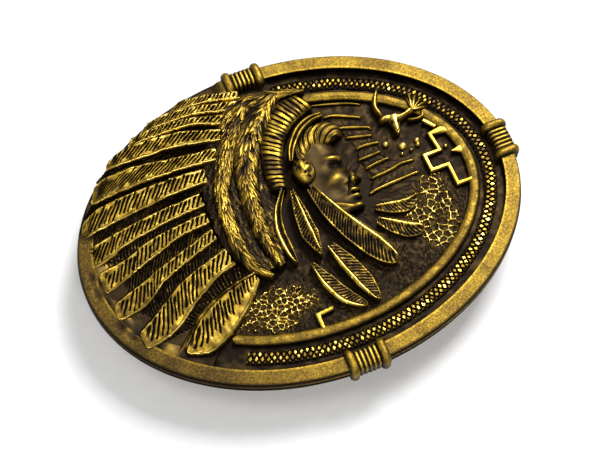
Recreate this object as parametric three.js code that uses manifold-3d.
// Oval western belt buckle: a base plate with soldered overlays on the front, and a fixed hook and a
// swinging belt loop on the back. Millimetres. The buckle lies face up on its hook, lugs and loop, and the
// origin is on that surface, under the middle of its outer box. +X runs along the belt towards the loop's
// end, +Y is up as worn, and +Z points out of the front. Heights below count from the plate's back face.
import * as THREE from "three";
import { mergeVertices } from "three/addons/utils/BufferGeometryUtils.js";
import Module from "manifold-3d";

const wasm = await Module();
wasm.setup();

// ---- Driving dimensions ----
const PLATE_A = 46; // half length of the oval
const PLATE_B = 34.9; // half height of the oval
const PLATE_T = 1.2; // thickness of the base plate
const RIM_W = 3.3; // width of the flat outer rim
const RIM_TOP = 3.2; // top of the rim above the back face
const BRAID_OUT = 4.8; // from the plate's edge to the braid band's outer edge
const BRAID_IN = 7.6;
const BRAID_TOP = 2.0;
const RING_OUT = 8.4; // from the plate's edge to the inner ring's outer edge
const RING_IN = 10.7;
const RING_TOP = 2.7;
const SOLDER_GAP = 0.3; // room for solder between overlays that meet
const BEVEL = 0.3; // softened upper edge of the bands that follow the oval
const LINE_STEPS = 4; // segments between two points of a smooth outline

// Belt hardware on the back, for a 38 to 40 mm strap.
const PIVOT_X = 14; // hinge axis of the belt loop
const PIVOT_Z = -5.5;
const LOOP_LENGTH = 16; // from the hinge axis to the middle of the outer bar
const LOOP_HALF_WIDTH = 23; // middle of each side arm
const WIRE_R = 1.5; // radius of the loop's wire
const BORE_R = 1.7; // radius of the lug's hole, which clears the turning wire
const LUG_Y = 20; // outer face of each lug
const LUG_T = 3;
const LUG_R = 3; // from the hinge axis to the lug's flanks and to its foot
const LUG_FOOT = 1.6; // half length of the flat foot that the buckle lies on
const LUG_CORNER = 1.4; // cut off each side of the foot
const GROUND_Z = PIVOT_Z - LUG_R; // the surface that the buckle lies on
const LOOP_DROP = Math.asin((LUG_R - WIRE_R) / LOOP_LENGTH); // the loop hangs down to the same surface
const HOOK_X = -33;
const HOOK_R = 2;
const HOOK_REACH = 8.6; // how far the hook's tip stands out beyond its post
const HOOK_BASE_R = 3.8;
const HOOK_BASE_T = 1.2;

// ---- Materials ----
const antiqueBrass = new THREE.MeshStandardMaterial({ color: 0xb8902f, roughness: 0.38, metalness: 1 });
const darkBrass = new THREE.MeshStandardMaterial({ color: 0x6b5220, roughness: 0.5, metalness: 1 });
const hardwareBrass = new THREE.MeshStandardMaterial({ color: 0xa88a3c, roughness: 0.42, metalness: 1 });

// ---- Solids ----
// A closed three.js geometry as a manifold-3d solid.
function solidOf(geometry) {
  const bare = geometry.index ? geometry.toNonIndexed() : geometry.clone();
  bare.deleteAttribute("normal");
  bare.deleteAttribute("uv");
  const merged = mergeVertices(bare, 1e-4);
  return new wasm.Manifold(
    new wasm.Mesh({
      numProp: 3,
      vertProperties: merged.attributes.position.array,
      triVerts: new Uint32Array(merged.index.array),
    }),
  );
}

// A manifold-3d solid as a three.js geometry.
function geometryOf(solid) {
  const mesh = solid.getMesh();
  const geometry = new THREE.BufferGeometry();
  geometry.setAttribute("position", new THREE.BufferAttribute(new Float32Array(mesh.vertProperties), 3));
  geometry.setIndex(new THREE.BufferAttribute(new Uint32Array(mesh.triVerts), 1));
  geometry.computeVertexNormals();
  return geometry;
}

const buckle = new THREE.Group();

function addSolid(name, solid, material) {
  return addGeometry(name, geometryOf(solid), material);
}

function addGeometry(name, geometry, material) {
  const mesh = new THREE.Mesh(geometry, material);
  mesh.name = name;
  buckle.add(mesh);
  return mesh;
}

// A flat outline raised from bottom to top, with a bevelled upper edge where bevel is above 0.
function raised(shape, bottom, top, bevel = 0) {
  const geometry = new THREE.ExtrudeGeometry(shape, {
    depth: top - bottom - 2 * bevel,
    bevelEnabled: bevel > 0,
    bevelThickness: bevel,
    bevelSize: bevel,
    bevelOffset: -bevel,
    bevelSegments: 1,
  });
  geometry.translate(0, 0, bottom + bevel);
  return solidOf(geometry);
}

// ---- Outlines ----
const points = (list) => list.map(([x, y]) => new THREE.Vector2(x, y));
const smoothLine = (list, steps = LINE_STEPS) =>
  new THREE.SplineCurve(points(list)).getPoints(steps * (list.length - 1));
const closedLine = (list) => smoothLine([...list, list[0]], 3).slice(0, -1);

// The outline moved outwards by distance, each corner along the mean of its two normals.
function grown(outline, distance) {
  const ring = THREE.ShapeUtils.isClockWise(outline) ? [...outline].reverse() : outline;
  const count = ring.length;
  return ring.map((point, i) => {
    const along = ring[(i + 1) % count].clone().sub(ring[(i + count - 1) % count]).normalize();
    return new THREE.Vector2(point.x + along.y * distance, point.y - along.x * distance);
  });
}

// A point on the oval that lies inset inside the plate's edge, at an angle in degrees from +X.
function ovalPoint(inset, degrees) {
  const angle = THREE.MathUtils.degToRad(degrees);
  return new THREE.Vector2((PLATE_A - inset) * Math.cos(angle), (PLATE_B - inset) * Math.sin(angle));
}

function ovalArc(inset, from, to, stepDegrees = 4) {
  const steps = Math.max(2, Math.round(Math.abs(to - from) / stepDegrees));
  return Array.from({ length: steps + 1 }, (_, i) => ovalPoint(inset, from + ((to - from) * i) / steps));
}

// A band that follows the oval between two insets, over an arc.
const ovalBand = (outer, inner, from, to) =>
  new THREE.Shape([...ovalArc(outer, from, to), ...ovalArc(inner, to, from)]);

// A ribbon of the given half width along a smooth line, narrowing to tipShare of it at its end.
function ribbon(line, halfWidth, tipShare = 1) {
  const path = smoothLine(line);
  const last = path.length - 1;
  const side = (sign) =>
    path.map((point, i) => {
      const along = path[Math.min(i + 1, last)].clone().sub(path[Math.max(i - 1, 0)]).normalize();
      const width = halfWidth * (1 - (1 - tipShare) * (i / last) ** 2);
      return new THREE.Vector2(point.x - along.y * sign * width, point.y + along.x * sign * width);
    });
  return [...side(1), ...side(-1).reverse()];
}

// ---- Base plate, rim, braid and inner ring ----
const FULL = [...ovalArc(0, 0, 360)].slice(0, -1);
const RIM_FROM = 96; // the rim starts under the upper wrap, runs round the loop's end and the
const RIM_TO = -196; // lower edge, and stops where the feather tips reach the plate's edge
const BRAID_FROM = 80;
const BRAID_TO = -128;
const RING_FROM = 72;
const RING_TO = -130;

addSolid("base_plate", raised(new THREE.Shape(FULL), 0, PLATE_T), darkBrass);
const rim = raised(ovalBand(0, RIM_W, RIM_FROM, RIM_TO), PLATE_T, RIM_TOP, BEVEL);
addSolid("outer_rim", rim, antiqueBrass);
const braid = raised(ovalBand(BRAID_OUT, BRAID_IN, BRAID_FROM, BRAID_TO), PLATE_T, BRAID_TOP, BEVEL);
const ring = raised(ovalBand(RING_OUT, RING_IN, RING_FROM, RING_TO), PLATE_T, RING_TOP, BEVEL);

// ---- Wraps: ferrules that grip the rim at 12, 3 and 6 o'clock ----
const WRAP_HALF = 4.2; // half length along the rim
const WRAP_WALL = 0.8; // outside, above and inside the rim
const WRAP_TOP = RIM_TOP + SOLDER_GAP + WRAP_WALL;
const wrapRoom = raised(ovalBand(-SOLDER_GAP, RIM_W + SOLDER_GAP, 0, 360), -1, RIM_TOP + SOLDER_GAP).add(
  raised(ovalBand(-SOLDER_GAP, RIM_W + 2 * WRAP_WALL, 0, 360), -1, PLATE_T + SOLDER_GAP),
);

function addWrap(name, degrees, crossRadius) {
  const halfAngle = THREE.MathUtils.radToDeg(Math.asin(WRAP_HALF / crossRadius));
  const reach = SOLDER_GAP + WRAP_WALL;
  const band = ovalBand(-reach, RIM_W + reach, degrees - halfAngle, degrees + halfAngle);
  addSolid(name, raised(band, 0, WRAP_TOP).subtract(wrapRoom), antiqueBrass);
}

addWrap("rim_wrap_top", 90, PLATE_A);
addWrap("rim_wrap_right", 0, PLATE_B);
addWrap("rim_wrap_bottom", -90, PLATE_A);

// ---- Overlays inside the ring ----
// Stepped frieze that hangs from the inner ring at the loop's end: a strip that turns at each step.
const STEP_STRIP = 0.45; // half width of the strip
const STEP_LINE = [
  [34.4, 6.9], [31.4, 6.9], [31.4, 3.0], [28.6, 3.0],
  [28.6, -0.9], [32.1, -0.9], [32.1, -5.6], [34.3, -5.6],
];

// A strip that follows a line of right-angled corners.
function steppedStrip(line, half, top) {
  return line.slice(1).reduce((solid, [x, y], i) => {
    const [px, py] = line[i];
    const long = Math.abs(x - px) + 2 * half;
    const wide = Math.abs(y - py) + 2 * half;
    const bar = new THREE.BoxGeometry(long, wide, top - PLATE_T);
    bar.translate((x + px) / 2, (y + py) / 2, (top + PLATE_T) / 2);
    return solid ? solid.add(solidOf(bar)) : solidOf(bar);
  }, null);
}

// Steer skull: a long face between two horns, laid over the ring.
const SKULL_TOP = 3.9;
const SKULL_FACE = closedLine([
  [22.9, 13.4], [24.6, 13.7], [28.4, 12.4], [31.9, 13.5],
  [31.6, 11.7], [28.2, 10.6], [26.4, 10.2], [25.2, 7.9],
  [24.5, 9.8], [24.2, 11.9],
]);
const SKULL_HORNS = [
  ribbon([[23.6, 13.3], [23.3, 15.4], [23.8, 17.9], [25.1, 20.3]], 0.75, 0.4),
  ribbon([[30.2, 12.9], [30.7, 14.6], [30.9, 16.0], [31.2, 17.4]], 0.95, 0.4),
];

// Sun rays behind the head: thin bars that fan out from the face.
const RAY_HALF = 0.28;
const RAY_TOP = 1.8;
const RAYS = [
  [[14.4, -0.9], [26.0, 0.1]],
  [[15.9, 2.1], [25.4, 2.8]],
  [[16.2, 4.4], [21.4, 5.0]],
  [[15.2, 6.7], [20.4, 6.9]],
  [[15.8, 9.2], [20.9, 9.0]],
  [[15.0, 12.6], [20.3, 11.2]],
  [[14.2, 15.2], [20.6, 12.9]],
  [[12.8, 18.5], [20.2, 16.0]],
];
const RAY_BACKING = closedLine([
  [13.2, 20.3], [20.6, 17.4], [21.6, 12.0], [21.6, 6.0],
  [24.5, 0.6], [15.0, -1.6], [14.6, 5.0], [14.4, 12.0],
]);
const RAY_SHEET_TOP = 1.5;

// ---- The head and its bonnet ----
// Each fan feather: the points of its upper edge and of its lower edge, from root to tip.
const FAN = [
  {
    upper: [[-15.6, -9.0], [-22.5, -11.6], [-30.7, -19.4]],
    lower: [[-13.2, -11.6], [-20.5, -18.3], [-29.8, -20.6]],
  },
  {
    upper: [[-18.3, -2.6], [-28.0, -6.6], [-37.9, -13.3]],
    lower: [[-17.0, -5.9], [-27.0, -10.2], [-37.4, -15.4]],
  },
  {
    upper: [[-18.2, 2.4], [-29.0, -0.8], [-40.7, -5.2]],
    lower: [[-17.8, 0.3], [-28.0, -2.7], [-40.3, -8.0]],
  },
  { upper: [[-18.2, 6.4], [-30.0, 4.7], [-41.5, 1.2]], lower: [[-18.0, 4.4], [-30.0, 2.0], [-41.6, -2.3]] },
  {
    upper: [[-17.9, 10.6], [-30.0, 10.1], [-42.0, 7.6]],
    lower: [[-17.7, 8.5], [-30.0, 7.1], [-41.8, 4.7]],
  },
  {
    upper: [[-16.2, 15.3], [-28.0, 16.5], [-41.2, 14.4]],
    lower: [[-16.4, 13.0], [-29.0, 13.2], [-42.6, 10.6]],
  },
  {
    upper: [[-13.6, 19.3], [-26.0, 21.9], [-36.6, 20.6]],
    lower: [[-12.8, 16.6], [-25.0, 18.2], [-38.9, 17.4]],
  },
  {
    upper: [[-10.2, 22.0], [-21.0, 25.7], [-31.3, 25.3]],
    lower: [[-9.4, 19.8], [-20.0, 23.3], [-32.8, 23.6]],
  },
  {
    upper: [[-8.0, 25.3], [-16.0, 28.3], [-25.6, 28.6]],
    lower: [[-6.9, 22.9], [-15.0, 26.5], [-27.0, 26.6]],
  },
  {
    upper: [[-5.8, 28.3], [-12.0, 30.3], [-19.9, 30.9]],
    lower: [[-5.0, 26.0], [-12.0, 28.9], [-22.1, 29.3]],
  },
  {
    upper: [[-3.6, 30.2], [-9.0, 31.9], [-14.6, 32.6]],
    lower: [[-3.4, 28.9], [-9.0, 30.9], [-16.0, 31.5]],
  },
];
const FAN_WEB_TOP = 2.0; // sheet that joins the feathers
const FAN_TOP = 3.8;
const FAN_WEB = closedLine([
  [-4.4, 29.6], [-9.0, 31.6], [-15.0, 31.8], [-26.0, 27.9],
  [-32.0, 24.0], [-38.2, 18.0], [-41.6, 11.0], [-41.4, 5.0],
  [-41.0, -2.0], [-39.8, -7.4], [-36.6, -15.0], [-29.8, -20.0],
  [-20.5, -17.8], [-14.0, -11.6], [-17.0, -5.0],
  [-17.4, 4.0], [-16.2, 12.0], [-11.6, 18.6], [-6.2, 25.0],
]);

// Ermine roll: the fur that runs from the crown down behind the brow band, in two tails.
const ROLL_TOP = 5.2;
const ROLL = closedLine([
  [7.6, 26.2], [1.6, 26.8], [-4.2, 25.0], [-8.2, 21.2],
  [-11.6, 16.6], [-14.6, 11.4], [-15.9, 5.0], [-15.8, -2.0],
  [-13.8, -8.0], [-10.6, -11.2], [-8.0, -10.4], [-7.6, -4.0],
  [-6.6, 2.0], [-5.0, 9.0], [-3.6, 15.0], [-0.6, 20.6],
  [3.4, 24.8],
]);

// Brow band: the ribbed band round the crown of the head.
const BAND_TOP = 5.2;
const BAND_HALF = 2.0;
const BAND_LINE = [[9.8, 21.9], [5.4, 21.3], [1.4, 17.9], [-1.2, 13.3], [-2.1, 8.9], [-1.9, 5.3]];

// Head in profile, facing the loop's end. The face is a plain ideal one on the classic three thirds, as
// [forward, up] in shares of the height from chin to hairline: brow at two thirds, nose base at one third.
const HEAD_TOP = 5.0;
const FACE_HEIGHT = 17.6;
const FACE_CHIN = { x: 11.9, y: -3.9 };
const FACE_PROFILE = [
  [-0.1, 1], [-0.01, 0.84], [0.01, 0.7], [-0.01, 0.63],
  [0.13, 0.39], [0.05, 0.33], [0.06, 0.25], [0.03, 0.21],
  [0.05, 0.16], [0.02, 0.1], [0.03, 0.03], [-0.04, -0.01], [-0.18, 0.02],
];
const faceLine = FACE_PROFILE.map(([forward, up]) => [
  FACE_CHIN.x + forward * FACE_HEIGHT,
  FACE_CHIN.y + up * FACE_HEIGHT,
]);
// The back of the head, under the hair and the hanging feathers.
const NAPE_LINE = [[5.6, -3.0], [3.0, -1.0], [2.6, 3.0], [3.0, 9.0], [4.0, 14.0], [6.0, 17.0]];
const ROSETTE = { x: 3.6, y: 7.4, a: 2.3, b: 3.1, top: 6.0 };

// Feathers that hang from the rosette, and two that lie under the chin: middle line, half width, top.
const DROP_FEATHERS = [
  { line: [[-3.0, 4.0], [-5.0, 0.6], [-5.6, -4.0], [-5.0, -9.8]], half: 0.85, top: 4.0 },
  { line: [[-0.3, 3.8], [-0.6, -1.0], [-0.7, -5.0], [0.0, -10.4]], half: 1.45, top: 4.6 },
  { line: [[3.7, 2.6], [5.4, -3.2], [8.6, -9.6], [13.2, -17.6]], half: 1.9, top: 4.6 },
  { line: [[2.2, -9.4], [4.0, -14.0], [5.6, -18.0], [7.0, -22.6]], half: 1.6, top: 3.4 },
  { line: [[-2.2, -12.0], [-0.9, -16.0], [0.9, -19.6], [3.9, -23.0]], half: 1.3, top: 3.0 },
];
const COLLAR_FEATHERS = [
  { line: [[15.3, -5.2], [18.0, -5.9], [20.4, -6.2], [22.8, -5.3]], half: 1.1, top: 2.6 },
  { line: [[14.4, -8.2], [16.6, -10.2], [18.8, -11.4], [20.9, -12.0]], half: 1.5, top: 2.8 },
];
const FEATHER_TIP = 0.55; // share of its width that a hanging feather keeps at its end

const prism = (outline, top) => raised(new THREE.Shape(outline), PLATE_T, top);
// The room that an overlay needs: its outline, grown by the solder gap, from the plate to above everything.
const room = (outline) => raised(new THREE.Shape(grown(outline, SOLDER_GAP)), 0, ROSETTE.top + 1);
const without = (solid, ...rooms) => rooms.reduce((left, taken) => left.subtract(taken), solid);
// The largest of a solid's separate pieces: what is left of an overlay once its neighbours have cut it.
const largest = (solid) => solid.decompose().sort((a, b) => b.volume() - a.volume())[0];

const rosetteOutline = Array.from({ length: 24 }, (_, i) => {
  const angle = (i / 24) * 2 * Math.PI;
  return new THREE.Vector2(
    ROSETTE.x + ROSETTE.a * Math.cos(angle),
    ROSETTE.y + ROSETTE.b * Math.sin(angle),
  );
});
const bandOutline = ribbon(BAND_LINE, BAND_HALF);
const featherOutline = ({ line, half }) => ribbon(line, half, FEATHER_TIP);
const fanOutline = ({ upper, lower }) => [...smoothLine(upper, 5), ...smoothLine(lower, 5).reverse()];

const rosetteRoom = room(rosetteOutline);
const bandRoom = room(bandOutline);
const rollRoom = room(ROLL);
const dropRooms = DROP_FEATHERS.map((feather) => room(featherOutline(feather)));
const collarRooms = COLLAR_FEATHERS.map((feather) => room(featherOutline(feather)));
const skullRoom = [SKULL_FACE, ...SKULL_HORNS].map(room).reduce((a, b) => a.add(b));
const HEAD = [...smoothLine(faceLine, 2), ...smoothLine(NAPE_LINE, 2)];
const headRoom = room(HEAD);

addSolid("temple_rosette", prism(rosetteOutline, ROSETTE.top), antiqueBrass);
const browBand = without(prism(bandOutline, BAND_TOP), rosetteRoom, dropRooms[0], dropRooms[1]);
addSolid("brow_band", largest(browBand), antiqueBrass);
const ermineRoll = without(prism(ROLL, ROLL_TOP), bandRoom, dropRooms[0]);
addSolid("ermine_roll", largest(ermineRoll), antiqueBrass);
const headRooms = [rosetteRoom, bandRoom, rollRoom, ...dropRooms, ...collarRooms];
const headCut = without(prism(HEAD, HEAD_TOP), ...headRooms);
addSolid("head", largest(headCut), antiqueBrass);

DROP_FEATHERS.forEach((feather, i) => {
  const above = dropRooms.slice(0, i);
  const cut = without(prism(featherOutline(feather), feather.top), rosetteRoom, ...above);
  addSolid(`drop_feather_${i + 1}`, largest(cut), antiqueBrass);
});
COLLAR_FEATHERS.forEach((feather, i) => {
  const whole = prism(featherOutline(feather), feather.top);
  const cut = without(whole, ...dropRooms, ...collarRooms.slice(0, i));
  addSolid(`collar_feather_${i + 1}`, largest(cut), antiqueBrass);
});

const skullPieces = [SKULL_FACE, ...SKULL_HORNS].map((outline) => prism(outline, SKULL_TOP));
const skull = skullPieces.reduce((a, b) => a.add(b));
addSolid("steer_skull", largest(skull), antiqueBrass);

const feathers = FAN.map((feather) => prism(fanOutline(feather), FAN_TOP));
const fan = feathers.reduce((a, b) => a.add(b), prism(FAN_WEB, FAN_WEB_TOP));
const rimRoom = raised(ovalBand(-1, RIM_W + SOLDER_GAP, RIM_FROM + 6, RIM_TO - 2), 0, ROSETTE.top);
const wrapTopRoom = raised(
  new THREE.Shape(points([[-5, 29], [5, 29], [5, 37], [-5, 37]])), 0, ROSETTE.top);
const insidePlate = raised(new THREE.Shape(FULL), 0, ROSETTE.top);
const fanCut = without(fan, rimRoom, wrapTopRoom, rollRoom).intersect(insidePlate);
addSolid("feather_fan", largest(fanCut), antiqueBrass);

const fanRoom = [FAN_WEB, ...FAN.map(fanOutline)].map(room).reduce((a, b) => a.add(b));
const stepStrip = steppedStrip(STEP_LINE, STEP_STRIP, RING_TOP);
const ringCut = without(ring.add(stepStrip), skullRoom, rollRoom, fanRoom, headRoom);
addSolid("inner_ring", largest(ringCut), antiqueBrass);
addSolid("braid_band", largest(without(braid, skullRoom, rollRoom, fanRoom)), antiqueBrass);

const rayBars = RAYS.map((line) => prism(ribbon(line, RAY_HALF), RAY_TOP));
const rays = rayBars.reduce((a, b) => a.add(b), prism(RAY_BACKING, RAY_SHEET_TOP));
const ringRoom = raised(ovalBand(0, RING_IN + SOLDER_GAP, 90, -90), 0, ROSETTE.top);
const neighboursOfRays = [skullRoom, headRoom, bandRoom, ringRoom, ...collarRooms];
addSolid("ray_panel", largest(without(rays, ...neighboursOfRays)), darkBrass);

// ---- Back: hook and belt loop ----
const BASE_SEGMENTS = 32;
const hookBaseProfile = points([
  [0, -HOOK_BASE_T],
  [HOOK_BASE_R - BEVEL, -HOOK_BASE_T],
  [HOOK_BASE_R, -HOOK_BASE_T + BEVEL],
  [HOOK_BASE_R, 0],
  [0, 0],
]);
const hookBase = new THREE.LatheGeometry(hookBaseProfile, BASE_SEGMENTS);
hookBase.rotateX(Math.PI / 2);
hookBase.translate(HOOK_X, 0, 0);
addSolid("hook_base", solidOf(hookBase), hardwareBrass);

const circle = (radius, segments) =>
  new THREE.Shape(Array.from({ length: segments }, (_, i) => {
    const angle = (i / segments) * 2 * Math.PI;
    return new THREE.Vector2(radius * Math.cos(angle), radius * Math.sin(angle));
  }));

const hookTipZ = GROUND_Z + HOOK_R;
const hookPath = new THREE.CurvePath();
const postEnd = new THREE.Vector3(HOOK_X, 0, hookTipZ + 2.6);
const bendEnd = new THREE.Vector3(HOOK_X - 2.6, 0, hookTipZ);
hookPath.add(new THREE.LineCurve3(new THREE.Vector3(HOOK_X, 0, -HOOK_BASE_T), postEnd));
hookPath.add(new THREE.QuadraticBezierCurve3(postEnd, new THREE.Vector3(HOOK_X, 0, hookTipZ), bendEnd));
hookPath.add(new THREE.LineCurve3(bendEnd, new THREE.Vector3(HOOK_X - HOOK_REACH, 0, hookTipZ)));
const hook = new THREE.ExtrudeGeometry(circle(HOOK_R, 16), { steps: 20, extrudePath: hookPath });
addSolid("hook", solidOf(hook), hardwareBrass);

// A lug's side view: a root on the plate, straight flanks, and a flat foot under the bore for the wire.
function addLug(name, farFace) {
  const flank = LUG_R + 0.6;
  const shoulder = GROUND_Z + LUG_CORNER;
  const half = [[flank, 0], [LUG_R, PIVOT_Z], [LUG_R, shoulder], [LUG_FOOT, GROUND_Z]];
  const mirrored = half.map(([x, z]) => [-x, z]).reverse();
  const outline = new THREE.Shape(points([...half, ...mirrored]));
  const bore = new THREE.Path();
  bore.absarc(0, PIVOT_Z, BORE_R, 0, 2 * Math.PI, false);
  outline.holes.push(bore);
  const lug = new THREE.ExtrudeGeometry(outline, { depth: LUG_T, bevelEnabled: false, curveSegments: 24 });
  lug.rotateX(Math.PI / 2);
  lug.translate(PIVOT_X, farFace, 0);
  addSolid(name, solidOf(lug), hardwareBrass);
}

addLug("loop_lug_upper", LUG_Y);
addLug("loop_lug_lower", -LUG_Y + LUG_T);

// The loop is one bent wire: two short ends turned in through the lugs, two arms and the outer bar.
const BEND = 3; // radius of each bend at the wire's middle
const END_Y = LUG_Y - LUG_T - 0.6; // the wire's ends stand just through the lugs
const at = (x, y) => new THREE.Vector3(x, y, 0);
const bend = (from, corner, to) => new THREE.QuadraticBezierCurve3(from, corner, to);

function loopPath(side) {
  const path = new THREE.CurvePath();
  const arm = side * LOOP_HALF_WIDTH;
  path.add(new THREE.LineCurve3(at(0, side * END_Y), at(0, side * (LOOP_HALF_WIDTH - 1.4))));
  path.add(bend(at(0, side * (LOOP_HALF_WIDTH - 1.4)), at(0, arm), at(1.4, arm)));
  path.add(new THREE.LineCurve3(at(1.4, arm), at(LOOP_LENGTH - BEND, arm)));
  path.add(bend(at(LOOP_LENGTH - BEND, arm), at(LOOP_LENGTH, arm), at(LOOP_LENGTH, arm - side * BEND)));
  path.add(new THREE.LineCurve3(at(LOOP_LENGTH, arm - side * BEND), at(LOOP_LENGTH, 0)));
  return path;
}

const wire = (side) =>
  solidOf(new THREE.ExtrudeGeometry(circle(WIRE_R, 16), { steps: 34, extrudePath: loopPath(side) }));
const loop = addSolid("belt_loop", wire(1).add(wire(-1)), hardwareBrass);
loop.rotation.y = LOOP_DROP;
loop.position.set(PIVOT_X, 0, PIVOT_Z);

// The right-hand wrap reaches past the plate, so the middle of the outer box is half of that
// off the plate's.
const WRAP_REACH = SOLDER_GAP + WRAP_WALL;
buckle.position.set(-WRAP_REACH / 2, 0, -GROUND_Z);

export default buckle;
